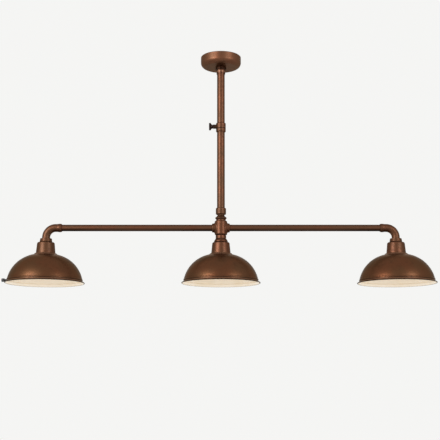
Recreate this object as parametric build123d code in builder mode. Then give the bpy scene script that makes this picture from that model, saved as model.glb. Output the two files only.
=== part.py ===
from build123d import *
from math import cos, pi, sin, sqrt
import os

# A three-lamp island pendant that hangs from a ceiling box on one adjustable stem.
# Frame: origin in the ceiling plane on the stem's axis, +Z up, +X along the bar, +Y to the back.
# Sizes are in millimetres.

os.makedirs("parts", exist_ok=True)

# ---------------------------------------------------------------- driving dimensions

# Fits and gaps
running_fit = 0.08          # radial, between a shaft and the bore it turns or slides in
rest_gap = 0.3              # between flat faces of two moving bodies
play = 0.15                 # end play of the swivel

# Ceiling strap: a bent strip whose ends lie on the ceiling box
strap_width = 20.0
strap_thickness = 2.5
strap_end_margin = 5.2      # metal left outside each slot
strap_corner = 5.0
strap_drop = 9.5            # the middle hangs this far below the ends
strap_middle_margin = 0.8   # flat left outside the ground screw's head
strap_ramp = 7.0            # length of each sloping part
box_screws_near = 69.9      # closest spacing of the ceiling box's screws
box_screws_far = 88.9       # widest spacing of the ceiling box's screws
box_screw_hole = 4.8
ground_screw_size = 4.0
ground_screw_gap = 1.0      # between its head and the stem's nut

# Threaded tube that hangs the stem from the strap
nipple_diameter = 10.0
nipple_bore = 7.0
nipple_above_nut = 2.0
nipple_nut_flats = 14.0
nipple_nut_height = 4.0
bushing_flange = 1.2
bushing_flange_inset = 0.4  # its flange is this much smaller than the nipple, all round
bushing_plug = 3.6
hanger_flange = 3.0
hanger_edge = 0.8
hanger_plug = 16.0
hanger_thread = 14.0        # how deep the nipple goes into the hanger

# Stem
tube_diameter = 25.4
tube_wall = 1.2
upper_tube_end = 227.0      # ceiling to the lower end of the fixed tube
lower_tube_show = 254.6     # bare length of the lower tube between its two collars
slide_bush_wall = 1.5
slide_bush_length = 28.0
slide_wall = 1.5
guide_ring_height = 10.0
stem_travel = 180.0         # how far the lamps can be let down
stem_stop_gap = 1.0         # left above the guide ring when they are let down
stem_lead_diameter = 6.0

# Clamp collar and its thumbscrew
collar_wall = 3.3           # over the lower tube
collar_height = 30.6
collar_edge = 2.2
collar_groove = 0.7
collar_guide = 18.0         # length of the bore that slides on the inner tube
clamp_drop = 11.5           # collar's top to the thumbscrew's axis
clamp_boss_diameter = 14.0
clamp_boss_length = 10.5    # beyond the collar
clamp_boss_edge = 0.8
clamp_screw_diameter = 6.0
clamp_head_diameter = 24.5
clamp_head_rim = 6.0        # thickness of the head's knurled rim
clamp_head_edge = 1.0
clamp_head_length = 12.4
clamp_neck_inset = 0.6      # the head's neck is this much smaller than the boss, all round
clamp_neck_swell = 0.9      # how far the neck has widened at two thirds of its flare
clamp_dish_depth = 0.8      # shallow dish in the head's outer face
clamp_pad_length = 3.0
clamp_pad_edge = 0.5
clamp_pad_recess = 0.2      # the pad's tip stands back this far from the bore

# Canopy and the ring that holds it up
canopy_diameter = 133.2
canopy_height = 36.2
canopy_wall = 1.0
canopy_edge_radius = 16.0
canopy_lip = 2.0            # width of the edge turned in against the ceiling
canopy_hole_gap = 0.5       # radial, round the stem
canopy_ring_height = 23.0
canopy_ring_band = 9.0      # height of its upper band
canopy_ring_band_wall = 4.8
canopy_ring_band_edge = 1.5
canopy_ring_waist = 2.0     # height of the straight part below the band
canopy_ring_waist_wall = 2.8
canopy_ring_foot_wall = 1.4
ring_screw_size = 4.0
ring_screw_drop = 4.8       # ring's top to its set screw

# Foot of the stem
coupling_wall = 3.9         # over the tube
coupling_edge = 2.4
coupling_height = 21.2
coupling_grip = 12.0        # how deep the tube goes in
coupling_web = 3.0
neck_show = 5.8             # bare height of the neck above the lock ring
neck_waist = 23.0
journal_diameter = 18.0
neck_bore = 9.0
neck_tail = 1.6             # journal left below the clip
clip_width = 3.5            # from the bottom of its groove to its outer edge
clip_thickness = 1.2
clip_groove = 1.0           # depth of the groove that the clip sits in
lock_ring_diameter = 37.4
lock_ring_height = 12.0
lock_ring_top = 26.4
lock_ring_foot = 29.0
lock_ring_crest = 5.5       # top of the ring to its sharp edge
lock_ring_edge = 1.0        # width of that edge

# Cross at the middle of the bar
cross_neck_diameter = 31.0
cross_neck_height = 3.0
cross_diameter = 40.4
cross_height = 46.3
cross_edge = 3.5
cross_wall = 4.2
cross_floor = 3.0
cross_roof = 2.0            # solid above the cavity, below the neck of the cross
hub_diameter = 29.2
hub_reach = 29.0
hub_edge = 3.0              # rounding of a hub's outer end
hub_face = 0.9              # flat left around the bar there
hub_fillet = 4.4            # where a hub grows out of the barrel
hub_land = 0.3              # straight left beside that fillet
hub_ledge = 1.0             # left inside the bar's inner end
hub_bore = 16.0
splice_width = 14.0
splice_height = 22.0
splice_corner = 2.0

# Bar, elbows and lamp spacing
lamp_spacing = 566.0
bar_diameter = 21.3
bar_wall = 1.5
elbow_diameter = 25.6
elbow_bore = 18.0
elbow_bend = 30.6
elbow_leg = 19.7            # straight part from the bend to the open end
elbow_grip = 14.0           # how deep the bar goes into the elbow
elbow_bead_diameter = 27.6
elbow_bead_width = 13.0
lamp_lead_diameter = 4.4

# Between the cross and the middle lamp
centre_coupling_diameter = 34.0
centre_coupling_height = 13.4
centre_coupling_edge = 3.0

# Cap rings over the lamp cups
side_cap_diameter = 40.0
side_cap_height = 12.1
centre_cap_diameter = 44.4
centre_cap_height = 10.6
cap_socket = 5.0            # depth of the recess that takes the tube above
cap_edge = 2.0
side_cap_taper = 1.5        # how much narrower its top is, all round
centre_cap_taper = 4.0

# Lamp cups
cup_top_diameter = 56.4
cup_foot_diameter = 62.6
cup_height = 36.0
cup_wall = 1.2
cup_shoulder = 5.0

# Lampholder
lamp_nut_flats = 14.0
lamp_nut_height = 4.0
lamp_nipple_grip = 9.0      # how deep the nipple goes into the lampholder
holder_wall = 4.8
holder_collar_width = 4.5   # beyond the skirt
holder_collar_height = 3.0
holder_cap_diameter = 20.0
holder_cap_height = 6.0
holder_shoulder = 5.0
holder_skirt_wall = 5.3
holder_skirt = 22.0         # length below the collar
holder_floor = 11.0         # ceiling of the cavity, above the collar
shell_bore = 26.6
shell_wall = 0.4
shell_gap = 0.5             # radial, in the lampholder's cavity
shell_length = 28.0
shell_flange_gap = 1.0      # radial, round the contact's pocket
contact_pocket = 3.0
contact_gap = 0.5           # radial, in its pocket
contact_diameter = 9.0
contact_base = 1.0
contact_tip_diameter = 5.0
contact_tip = 2.2
contact_taper = 12.0        # degrees

# Shades
shade_hole_gap = 0.4        # radial, round the lampholder's skirt
shade_wall = 0.9
shade_seat_margin = 1.2     # flat left outside the cup's foot
shade_neck_width = 5.5      # from the flat to where the dome starts
shade_neck_drop = 4.6
shade_neck_radius = 6.0
shade_dome_bulge = 18.3     # rise of the dome's arc over its chord
shade_bead_height = 4.6
shade_bead_out = 0.9
shade_lip_height = 9.2      # from the dome's foot to the lowest edge
shade_lip_width = 6.8       # from the dome's foot out to the rim
shade_lip_bulge = 1.2
shade_rim_diameter = 254.2
shade_height = 97.2
shade_roll_diameter = 3.2
shade_ring_wall = 5.5
shade_ring_height = 6.0
shade_ring_notches = 8
shade_ring_notch_radius = 2.4

# Rotary switch on the rim of the left shade
switch_axis_height = 10.7   # above the rim's lowest edge
switch_body_diameter = 10.4
switch_body_depth = 7.5
switch_body_edge = 0.8
switch_bush_diameter = 5.0
switch_bush_reach = 2.2     # stands this far out of the shade
switch_nut_wall = 1.1
switch_nut_thickness = 1.5
switch_spindle_diameter = 3.0
switch_spindle_depth = 6.0  # how far the spindle reaches inside the shade's wall
switch_knob_diameter = 11.3
switch_knob_head = 10.4
switch_knob_flare = 1.5
switch_knob_edge = 1.0
switch_knob_neck = 7.0
switch_knob_past_rim = 11.8

# ---------------------------------------------------------------- places worked out from them

ground_screw_head = ground_screw_size * 0.9
ground_screw_offset = nipple_nut_flats / sqrt(3) + ground_screw_gap + ground_screw_head
strap_middle = 2 * (ground_screw_offset + ground_screw_head + strap_middle_margin)
strap_length = box_screws_far + box_screw_hole + 2 * strap_end_margin
strap_underside = -strap_drop - strap_thickness
nipple_nut_top = -strap_drop + nipple_nut_height
nipple_top = nipple_nut_top + nipple_above_nut
hanger_top = strap_underside - nipple_nut_height
nipple_bottom = hanger_top - hanger_thread
upper_tube_top = hanger_top - hanger_flange
tube_bore = tube_diameter - 2 * tube_wall
slide_diameter = tube_bore - 2 * slide_bush_wall

collar_top = -upper_tube_end - rest_gap
collar_bottom = collar_top - collar_height
collar_radius = tube_diameter / 2 + collar_wall
clamp_boss_reach = collar_radius + clamp_boss_length
clamp_head_reach = clamp_boss_reach + rest_gap + clamp_head_length
clamp_z = collar_top - clamp_drop
guide_bottom = collar_top - collar_guide
guide_ring_top = guide_bottom - stem_travel - stem_stop_gap
slide_bottom = guide_ring_top - guide_ring_height
slide_top = -upper_tube_end + slide_bush_length

coupling_top = collar_bottom - lower_tube_show
coupling_bottom = coupling_top - coupling_height
lower_tube_bottom = coupling_top - coupling_grip
neck_foot = coupling_bottom - neck_show
lock_ring_z = neck_foot - play
cross_neck_top = lock_ring_z - lock_ring_height
cross_top = cross_neck_top - cross_neck_height
bar_z = cross_top - cross_height / 2
cross_bottom = cross_top - cross_height
cavity_top = cross_top - cross_roof
cavity_bottom = cross_bottom + cross_floor
clip_top = cavity_top - play
journal_bottom = clip_top - clip_thickness - neck_tail
cross_cavity = cross_diameter - 2 * cross_wall
hub_stop = cross_cavity / 2 + hub_ledge
hub_length = hub_reach - cross_diameter / 2
end_rounding = min(hub_edge, hub_length / 2, (hub_diameter - bar_diameter) / 2 - hub_face)
hub_room = min(hub_length - end_rounding, (cross_height - hub_diameter) / 2 - cross_edge)
elbow_reach = elbow_bend + elbow_leg

cup_top = cross_bottom - centre_coupling_height - centre_cap_height
cup_bottom = cup_top - cup_height
holder_top = cup_top - cup_wall - lamp_nut_height
lead_end = holder_top - lamp_nipple_grip
holder_cavity = shell_bore + 2 * shell_wall + 2 * shell_gap
holder_diameter = holder_cavity + 2 * holder_wall
holder_skirt_diameter = holder_cavity + 2 * holder_skirt_wall
contact_pocket_diameter = contact_diameter + 2 * contact_gap
shell_flange_hole = contact_pocket_diameter + 2 * shell_flange_gap
shade_top = cup_bottom
rim_z = shade_top - shade_height
switch_z = rim_z + switch_axis_height

bar_axis = Axis((0, 0, bar_z), (1, 0, 0))
lamps = {"left": -lamp_spacing, "centre": 0.0, "right": lamp_spacing}
sides = {"left": -1, "right": 1}


def upright(x=0.0):
    """Upright drawing plane facing the front, with its origin on the axis at x."""
    return Plane(origin=(x, 0, 0), x_dir=(1, 0, 0), z_dir=(0, -1, 0))


def upright_axis(x=0.0):
    """Vertical axis through x."""
    return Axis((x, 0, 0), (0, 0, 1))


def level(z, x=0.0):
    """Level drawing plane at height z, with its origin on the axis at x."""
    return Plane(origin=(x, 0, z))


def facing_out(side, reach, z):
    """Drawing plane square to the bar, looking away from the stem on the given side."""
    return Plane(origin=(side * reach, 0, z), x_dir=(0, 1, 0), z_dir=(side, 0, 0))


def save(piece, name):
    """Name a finished piece and write it to its own file."""
    piece.part.label = name
    export_step(piece.part, f"parts/{name}.step")


# ---------------------------------------------------------------- ceiling strap and stem hanger

slot_spacing = (box_screws_near + box_screws_far) / 2
slot_length = (box_screws_far - box_screws_near) / 2 + box_screw_hole

with BuildPart() as crossbar:
    with BuildSketch(Plane.XZ.offset(-strap_width / 2)):
        with BuildLine():
            ramp_foot = strap_middle / 2
            ramp_head = ramp_foot + strap_ramp
            Polyline(
                (-strap_length / 2, 0),
                (-ramp_head, 0),
                (-ramp_foot, -strap_drop),
                (ramp_foot, -strap_drop),
                (ramp_head, 0),
                (strap_length / 2, 0),
                (strap_length / 2, -strap_thickness),
                (ramp_head - strap_thickness / 2, -strap_thickness),
                (ramp_foot - strap_thickness / 2, strap_underside),
                (strap_thickness / 2 - ramp_foot, strap_underside),
                (strap_thickness / 2 - ramp_head, -strap_thickness),
                (-strap_length / 2, -strap_thickness),
                close=True,
            )
        make_face()
    extrude(amount=strap_width)
    with BuildSketch(level(0)):
        with GridLocations(slot_spacing, 0, 2, 1):
            SlotOverall(slot_length, box_screw_hole)
    extrude(amount=-strap_thickness, mode=Mode.SUBTRACT)
    with BuildSketch(level(-strap_drop)):
        Circle(nipple_diameter / 2)
        with Locations((ground_screw_offset, 0)):
            Circle(ground_screw_size / 2)
    extrude(amount=-strap_thickness, mode=Mode.SUBTRACT)
    fillet(crossbar.edges().filter_by(Axis.Z).group_by(Axis.X)[0], strap_corner)
    fillet(crossbar.edges().filter_by(Axis.Z).group_by(Axis.X)[-1], strap_corner)
save(crossbar, "crossbar")

with BuildPart() as ground_screw:
    with BuildSketch(level(strap_underside - ground_screw_size / 2, ground_screw_offset)):
        Circle(ground_screw_size / 2)
    extrude(amount=strap_thickness + ground_screw_size / 2)
    with BuildSketch(level(-strap_drop, ground_screw_offset)):
        RegularPolygon(ground_screw_head, 6)
    extrude(amount=ground_screw_size * 0.7)
save(ground_screw, "ground_screw")

with BuildPart() as nipple:
    with BuildSketch(level(nipple_bottom)):
        Circle(nipple_diameter / 2)
        Circle(nipple_bore / 2, mode=Mode.SUBTRACT)
    extrude(amount=nipple_top - nipple_bottom)
save(nipple, "nipple")

with BuildPart() as nipple_nuts:
    for nut_foot in (-strap_drop, hanger_top):
        with BuildSketch(level(nut_foot)):
            RegularPolygon(nipple_nut_flats / 2, 6, major_radius=False)
            Circle(nipple_diameter / 2, mode=Mode.SUBTRACT)
        extrude(amount=nipple_nut_height)
save(nipple_nuts, "nipple_nuts")

with BuildPart() as lead_bushing:
    with BuildSketch(level(nipple_top)):
        Circle(nipple_diameter / 2 - bushing_flange_inset)
        Circle(stem_lead_diameter / 2, mode=Mode.SUBTRACT)
    extrude(amount=bushing_flange)
    with BuildSketch(level(nipple_top)):
        Circle(nipple_bore / 2)
        Circle(stem_lead_diameter / 2, mode=Mode.SUBTRACT)
    extrude(amount=-bushing_plug)
save(lead_bushing, "lead_bushing")

with BuildPart() as stem_hanger:
    with BuildSketch(upright()):
        Polygon(
            (nipple_diameter / 2, hanger_top),
            (tube_diameter / 2, hanger_top),
            (tube_diameter / 2, upper_tube_top),
            (tube_bore / 2, upper_tube_top),
            (tube_bore / 2, upper_tube_top - hanger_plug),
            (nipple_diameter / 2, upper_tube_top - hanger_plug),
            align=None,
        )
    revolve(axis=upright_axis())
    top_edges = stem_hanger.edges().filter_by(GeomType.CIRCLE).group_by(Axis.Z)[-1]
    chamfer(top_edges.sort_by(SortBy.RADIUS)[-1], hanger_edge)
save(stem_hanger, "stem_hanger")

# ---------------------------------------------------------------- stem tubes

with BuildPart() as stem_upper:
    with BuildSketch(level(-upper_tube_end)):
        Circle(tube_diameter / 2)
        Circle(tube_bore / 2, mode=Mode.SUBTRACT)
    extrude(amount=upper_tube_top + upper_tube_end)
save(stem_upper, "stem_upper")

with BuildPart() as slide_bush:
    with BuildSketch(level(-upper_tube_end)):
        Circle(tube_bore / 2)
        Circle(slide_diameter / 2, mode=Mode.SUBTRACT)
    extrude(amount=slide_bush_length)
save(slide_bush, "slide_bush")

with BuildPart() as slide_tube:
    with BuildSketch(level(slide_bottom)):
        Circle(slide_diameter / 2)
        Circle(slide_diameter / 2 - slide_wall, mode=Mode.SUBTRACT)
    extrude(amount=slide_top - slide_bottom)
save(slide_tube, "slide_tube")

with BuildPart() as guide_ring:
    with BuildSketch(level(slide_bottom)):
        Circle(tube_bore / 2 - running_fit)
        Circle(slide_diameter / 2, mode=Mode.SUBTRACT)
    extrude(amount=guide_ring_height)
save(guide_ring, "guide_ring")

stem_lead_bottom = bar_z + splice_height / 2 + rest_gap
with BuildPart() as stem_lead:
    with BuildSketch(level(stem_lead_bottom)):
        Circle(stem_lead_diameter / 2)
    extrude(amount=nipple_top + bushing_flange - stem_lead_bottom)
save(stem_lead, "stem_lead")

lower_tube_top = guide_bottom
with BuildPart() as stem_lower:
    with BuildSketch(level(lower_tube_bottom)):
        Circle(tube_diameter / 2)
        Circle(tube_bore / 2, mode=Mode.SUBTRACT)
    extrude(amount=lower_tube_top - lower_tube_bottom)
save(stem_lower, "stem_lower")

# ---------------------------------------------------------------- clamp collar and thumbscrew

with BuildPart() as clamp_collar:
    with BuildSketch(upright()):
        with BuildLine():
            Polyline(
                (slide_diameter / 2 + running_fit, guide_bottom),
                (slide_diameter / 2 + running_fit, collar_top),
                (collar_radius - collar_edge, collar_top),
            )
            RadiusArc(
                (collar_radius - collar_edge, collar_top),
                (collar_radius, collar_top - collar_edge),
                collar_edge,
            )
            Polyline(
                (collar_radius, collar_top - collar_edge),
                (collar_radius, guide_bottom),
                (collar_radius - collar_groove, guide_bottom - collar_groove),
                (collar_radius, guide_bottom - 2 * collar_groove),
                (collar_radius, collar_bottom + collar_edge),
                (collar_radius - collar_edge, collar_bottom),
                (tube_diameter / 2, collar_bottom),
                (tube_diameter / 2, guide_bottom),
                (slide_diameter / 2 + running_fit, guide_bottom),
            )
        make_face()
    revolve(axis=upright_axis())
    boss_root = (tube_diameter / 2 + collar_radius) / 2
    with BuildSketch(facing_out(-1, boss_root, clamp_z)):
        Circle(clamp_boss_diameter / 2)
    extrude(amount=clamp_boss_reach - boss_root)
    boss_end = clamp_collar.faces().sort_by(Axis.X)[0]
    chamfer(boss_end.edges(), clamp_boss_edge)
    with BuildSketch(facing_out(-1, 0, clamp_z)):
        Circle(clamp_screw_diameter / 2 + running_fit)
    extrude(amount=clamp_boss_reach, mode=Mode.SUBTRACT)
save(clamp_collar, "clamp_collar")

pad_tip = slide_diameter / 2 + running_fit + clamp_pad_recess
pad_back = pad_tip + clamp_pad_length
with BuildPart() as clamp_pad:
    with BuildSketch(facing_out(-1, pad_tip, clamp_z)):
        Circle(clamp_screw_diameter / 2)
    extrude(amount=clamp_pad_length)
    chamfer(clamp_pad.faces().sort_by(Axis.X)[-1].edges(), clamp_pad_edge)
save(clamp_pad, "clamp_pad")

with BuildPart() as thumbscrew:
    neck_r = clamp_boss_diameter / 2 - clamp_neck_inset
    head_r = clamp_head_diameter / 2
    head_foot = clamp_boss_reach + rest_gap
    head_edge = clamp_head_reach - clamp_head_rim
    dish_floor = clamp_head_reach - clamp_dish_depth
    with BuildSketch(upright()):
        with BuildLine():
            Polyline(
                (-pad_back - play, clamp_z),
                (-pad_back - play, clamp_z + clamp_screw_diameter / 2),
                (-head_foot, clamp_z + clamp_screw_diameter / 2),
                (-head_foot, clamp_z + neck_r),
            )
            ThreePointArc(
                (-head_foot, clamp_z + neck_r),
                (-(head_foot + 2 * head_edge) / 3, clamp_z + neck_r + clamp_neck_swell),
                (-head_edge, clamp_z + head_r - clamp_head_edge),
            )
            Polyline(
                (-head_edge, clamp_z + head_r - clamp_head_edge),
                (-head_edge - clamp_head_edge, clamp_z + head_r),
                (-clamp_head_reach + clamp_head_edge, clamp_z + head_r),
                (-clamp_head_reach, clamp_z + head_r - clamp_head_edge),
                (-clamp_head_reach, clamp_z + head_r / 2),
                (-dish_floor, clamp_z + head_r / 2 - clamp_dish_depth),
                (-dish_floor, clamp_z),
                (-pad_back - play, clamp_z),
            )
        make_face()
    revolve(axis=Axis((0, 0, clamp_z), (1, 0, 0)))
save(thumbscrew, "thumbscrew")

# ---------------------------------------------------------------- canopy

with BuildPart() as canopy:
    outer = canopy_diameter / 2
    inner = outer - canopy_wall
    hole = tube_diameter / 2 + canopy_hole_gap
    floor_top = -canopy_height + canopy_wall
    with BuildSketch(upright()):
        with BuildLine():
            Polyline((outer - canopy_lip, 0), (outer, -canopy_lip))
            Line((outer, -canopy_lip), (outer, -canopy_height + canopy_edge_radius))
            RadiusArc(
                (outer, -canopy_height + canopy_edge_radius),
                (outer - canopy_edge_radius, -canopy_height),
                canopy_edge_radius,
            )
            Polyline(
                (outer - canopy_edge_radius, -canopy_height),
                (hole, -canopy_height),
                (hole, floor_top),
                (outer - canopy_edge_radius, floor_top),
            )
            RadiusArc(
                (outer - canopy_edge_radius, floor_top),
                (inner, -canopy_height + canopy_edge_radius),
                -(canopy_edge_radius - canopy_wall),
            )
            Polyline(
                (inner, -canopy_height + canopy_edge_radius),
                (inner, -canopy_lip - canopy_wall / 2),
                (outer - canopy_lip - canopy_wall, -canopy_wall / 2),
                (outer - canopy_lip - canopy_wall, 0),
                (outer - canopy_lip, 0),
            )
        make_face()
    revolve(axis=upright_axis())
save(canopy, "canopy")

ring_top = -canopy_height
ring_bottom = ring_top - canopy_ring_height
band_r = tube_diameter / 2 + canopy_ring_band_wall
waist_r = tube_diameter / 2 + canopy_ring_waist_wall
with BuildPart() as canopy_ring:
    with BuildSketch(upright()):
        ring_bore = tube_diameter / 2 + running_fit
        band_foot = ring_top - canopy_ring_band
        Polygon(
            (ring_bore, ring_top),
            (band_r, ring_top),
            (band_r, band_foot + canopy_ring_band_edge),
            (waist_r, band_foot),
            (waist_r, band_foot - canopy_ring_waist),
            (tube_diameter / 2 + canopy_ring_foot_wall, ring_bottom),
            (ring_bore, ring_bottom),
            align=None,
        )
    revolve(axis=upright_axis())
    with BuildSketch(Plane(origin=(0, 0, ring_top - ring_screw_drop), x_dir=(1, 0, 0), z_dir=(0, 1, 0))):
        Circle(ring_screw_size / 2)
    extrude(amount=2 * band_r, mode=Mode.SUBTRACT)
save(canopy_ring, "canopy_ring")

with BuildPart() as canopy_ring_screw:
    screw_tip = tube_diameter / 2 + running_fit
    screw_plane = Plane(origin=(0, screw_tip, ring_top - ring_screw_drop), x_dir=(1, 0, 0), z_dir=(0, 1, 0))
    with BuildSketch(screw_plane):
        Circle(ring_screw_size / 2)
    extrude(amount=band_r - screw_tip)
    with BuildSketch(screw_plane.offset(band_r - screw_tip)):
        RegularPolygon(ring_screw_size / 4, 6, major_radius=False)
    extrude(amount=-ring_screw_size / 2, mode=Mode.SUBTRACT)
save(canopy_ring_screw, "canopy_ring_screw")

# ---------------------------------------------------------------- foot of the stem

with BuildPart() as stem_coupling:
    coupling_radius = tube_diameter / 2 + coupling_wall
    web_top = lower_tube_bottom
    web_bottom = web_top - coupling_web
    with BuildSketch(upright()):
        with BuildLine():
            Polyline(
                (tube_diameter / 2, web_top),
                (tube_diameter / 2, coupling_top),
                (coupling_radius - coupling_edge, coupling_top),
            )
            RadiusArc(
                (coupling_radius - coupling_edge, coupling_top),
                (coupling_radius, coupling_top - coupling_edge),
                coupling_edge,
            )
            Line(
                (coupling_radius, coupling_top - coupling_edge),
                (coupling_radius, coupling_bottom + coupling_edge),
            )
            RadiusArc(
                (coupling_radius, coupling_bottom + coupling_edge),
                (coupling_radius - coupling_edge, coupling_bottom),
                coupling_edge,
            )
            Polyline(
                (coupling_radius - coupling_edge, coupling_bottom),
                (journal_diameter / 2, coupling_bottom),
                (journal_diameter / 2, web_bottom),
                (neck_bore / 2, web_bottom),
                (neck_bore / 2, web_top),
                (tube_diameter / 2, web_top),
            )
        make_face()
    revolve(axis=upright_axis())
save(stem_coupling, "stem_coupling")

with BuildPart() as stem_neck:
    groove_top = clip_top
    groove_bottom = clip_top - clip_thickness
    journal = journal_diameter / 2
    with BuildSketch(upright()):
        with BuildLine():
            Polyline(
                (neck_bore / 2, web_bottom),
                (journal, web_bottom),
                (journal, coupling_bottom),
                (tube_diameter / 2, coupling_bottom),
            )
            ThreePointArc(
                (tube_diameter / 2, coupling_bottom),
                (neck_waist / 2, (coupling_bottom + neck_foot) / 2),
                (lock_ring_top / 2, neck_foot),
            )
            Polyline(
                (lock_ring_top / 2, neck_foot),
                (journal, neck_foot),
                (journal, groove_top),
                (journal - clip_groove, groove_top),
                (journal - clip_groove, groove_bottom),
                (journal, groove_bottom),
                (journal, journal_bottom),
                (neck_bore / 2, journal_bottom),
                (neck_bore / 2, web_bottom),
            )
        make_face()
    revolve(axis=upright_axis())
save(stem_neck, "stem_neck")

groove_r = journal_diameter / 2 - clip_groove
with BuildPart() as neck_clip:
    with BuildSketch(level(clip_top - clip_thickness)):
        Circle(groove_r + clip_width)
        Circle(groove_r, mode=Mode.SUBTRACT)
        with Locations((0, -groove_r - clip_width)):
            Rectangle(groove_r, 2 * (groove_r + clip_width), mode=Mode.SUBTRACT)
    extrude(amount=clip_thickness)
save(neck_clip, "neck_clip")

with BuildPart() as lock_ring:
    with BuildSketch(upright()):
        crest_z = lock_ring_z - lock_ring_crest
        Polygon(
            (journal_diameter / 2 + running_fit, lock_ring_z),
            (lock_ring_top / 2, lock_ring_z),
            (lock_ring_diameter / 2, crest_z + lock_ring_edge / 2),
            (lock_ring_diameter / 2, crest_z - lock_ring_edge / 2),
            (lock_ring_foot / 2, cross_neck_top),
            (journal_diameter / 2 + running_fit, cross_neck_top),
            align=None,
        )
    revolve(axis=upright_axis())
save(lock_ring, "lock_ring")

# ---------------------------------------------------------------- cross and bar

with BuildPart() as cross:
    barrel = cross_diameter / 2
    neck_radius = cross_neck_diameter / 2
    with BuildSketch(upright()) as barrel_outline:
        Polygon((0, cross_bottom), (barrel, cross_bottom), (barrel, cross_top), (0, cross_top), align=None)
        fillet(barrel_outline.vertices().group_by(Axis.X)[-1], cross_edge)
        Polygon((0, bar_z), (neck_radius, bar_z), (neck_radius, cross_neck_top), (0, cross_neck_top), align=None)
    revolve(axis=upright_axis())
    for side in sides.values():
        with BuildSketch(facing_out(side, 0, bar_z)):
            Circle(hub_diameter / 2)
        extrude(amount=hub_reach)
    hub_rings = cross.edges().filter_by(GeomType.CIRCLE).group_by(Axis.X)
    fillet(hub_rings[0] + hub_rings[-1], end_rounding)
    hub_joints = cross.edges().filter_by(GeomType.BSPLINE)
    fillet(hub_joints, min(hub_fillet, hub_room - hub_land))
    with BuildSketch(level(cavity_bottom)):
        Circle(cross_cavity / 2)
    extrude(amount=cavity_top - cavity_bottom, mode=Mode.SUBTRACT)
    with BuildSketch(level(cavity_top)):
        Circle(journal_diameter / 2 + running_fit)
    extrude(amount=cross_neck_top - cavity_top, mode=Mode.SUBTRACT)
    with BuildSketch(level(cross_bottom)):
        Circle(nipple_diameter / 2)
    extrude(amount=cross_floor, mode=Mode.SUBTRACT)
    with BuildSketch(facing_out(-1, -hub_reach, bar_z)):
        Circle(hub_bore / 2)
    extrude(amount=2 * hub_reach, mode=Mode.SUBTRACT)
    for side in sides.values():
        with BuildSketch(facing_out(side, hub_stop, bar_z)):
            Circle(bar_diameter / 2)
        extrude(amount=hub_reach - hub_stop, mode=Mode.SUBTRACT)
save(cross, "cross")

with BuildPart() as splice_block:
    with BuildSketch(level(bar_z - splice_height / 2)):
        RectangleRounded(splice_width, splice_width, splice_corner)
    extrude(amount=splice_height)
save(splice_block, "splice_block")

bar_outer_end = lamp_spacing - elbow_reach + elbow_grip
for name, side in sides.items():
    with BuildPart() as bar:
        with BuildSketch(facing_out(side, hub_stop, bar_z)):
            Circle(bar_diameter / 2)
            Circle(bar_diameter / 2 - bar_wall, mode=Mode.SUBTRACT)
        extrude(amount=bar_outer_end - hub_stop)
    save(bar, f"bar_{name}")

side_cap_top = cup_top + side_cap_height
elbow_foot = side_cap_top - cap_socket
for name, side in sides.items():
    lamp_x = side * lamp_spacing
    open_end = lamp_spacing - elbow_reach
    with BuildPart() as elbow:
        with BuildLine(upright()) as elbow_route:
            FilletPolyline(
                (side * open_end, bar_z),
                (lamp_x, bar_z),
                (lamp_x, elbow_foot),
                radius=elbow_bend,
            )
        with BuildSketch(facing_out(side, open_end, bar_z)):
            Circle(elbow_diameter / 2)
            Circle(elbow_bore / 2, mode=Mode.SUBTRACT)
        sweep(path=elbow_route.line)
        bead_end = side * (open_end + elbow_bead_width)
        mouth = side * open_end
        with BuildSketch(upright()):
            with BuildLine():
                Polyline(
                    (mouth, bar_z + elbow_diameter / 2),
                    (mouth, bar_z + elbow_bore / 2),
                    (bead_end, bar_z + elbow_bore / 2),
                    (bead_end, bar_z + elbow_diameter / 2),
                )
                ThreePointArc(
                    (bead_end, bar_z + elbow_diameter / 2),
                    ((bead_end + mouth) / 2, bar_z + elbow_bead_diameter / 2),
                    (mouth, bar_z + elbow_diameter / 2),
                )
            make_face()
        revolve(axis=bar_axis)
        with BuildSketch(facing_out(side, open_end, bar_z)):
            Circle(bar_diameter / 2)
        extrude(amount=elbow_grip, mode=Mode.SUBTRACT)
    save(elbow, f"elbow_{name}")

    with BuildPart() as lamp_lead:
        with BuildLine(upright()) as lead_route:
            FilletPolyline(
                (side * splice_width / 2, bar_z),
                (lamp_x, bar_z),
                (lamp_x, lead_end),
                radius=elbow_bend,
            )
        with BuildSketch(facing_out(side, splice_width / 2, bar_z)):
            Circle(lamp_lead_diameter / 2)
        sweep(path=lead_route.line)
    save(lamp_lead, f"lead_{name}")

with BuildPart() as centre_lead:
    with BuildSketch(level(lead_end)):
        Circle(lamp_lead_diameter / 2)
    extrude(amount=bar_z - splice_height / 2 - lead_end)
save(centre_lead, "lead_centre")

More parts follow.
